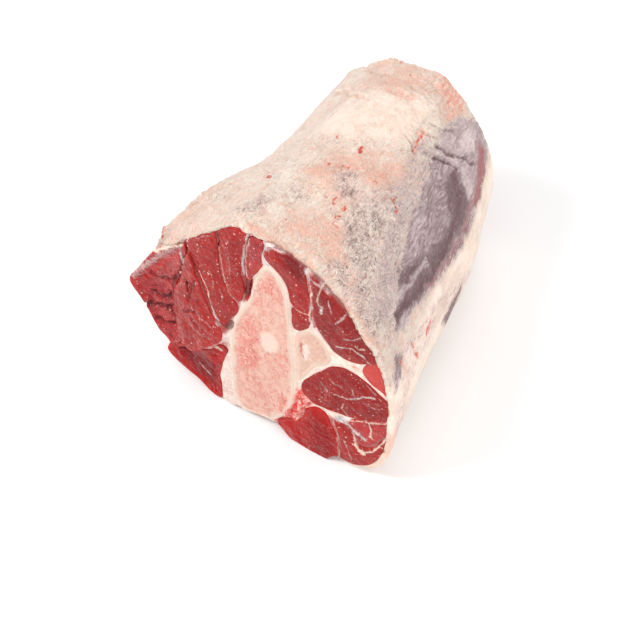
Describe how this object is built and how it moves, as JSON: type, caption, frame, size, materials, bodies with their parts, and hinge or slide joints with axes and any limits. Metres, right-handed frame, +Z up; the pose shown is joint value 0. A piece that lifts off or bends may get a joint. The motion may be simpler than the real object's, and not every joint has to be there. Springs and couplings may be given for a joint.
{
  "type": "beef shank",
  "caption": "Raw beef shank on the bone, sawn across at both ends, with a fat cover, silver skin and red muscles round the marrow bone.",
  "frame": {"origin": "bottom centre of the bounding box, on the surface that the shank rests on", "axes": "+Y along the shank from the wide cut to the narrow cut, +Z up, so the wide cut faces -Y and the torn side is at -X"},
  "size_m": [0.1706, 0.2025, 0.1437],
  "materials": {
    "meat": "moist raw red meat with fine pale grain",
    "dark_meat": "dark, moist raw meat",
    "wet_meat": "wet, bright red raw meat",
    "pale_meat": "smooth, lighter red meat",
    "bone": "sawn bone, cream rim and pink mottled spongy core",
    "small_bone": "sawn bone, pale cream",
    "fascia": "moist white silver skin and seam fat",
    "fat": "cream fat with a fibrous, satin surface"
  },
  "bodies": {
    "root": {"muscle_left_tip": "dark_meat", "muscle_left_inner": "meat", "muscle_left_top": "meat", "muscle_top": "meat", "muscle_top_strip": "dark_meat", "muscle_crown": "meat", "muscle_crown_small": "meat", "muscle_right_long": "meat", "muscle_right_pale": "pale_meat", "muscle_right_oval": "meat", "muscle_lower_round": "wet_meat", "muscle_lower_cup": "meat", "muscle_lower_core": "dark_meat", "muscle_left_flap": "wet_meat", "bone_main": "bone", "bone_small": "small_bone", "fascia": "fascia", "fat_cover": "fat"}
  },
  "joints": []
}
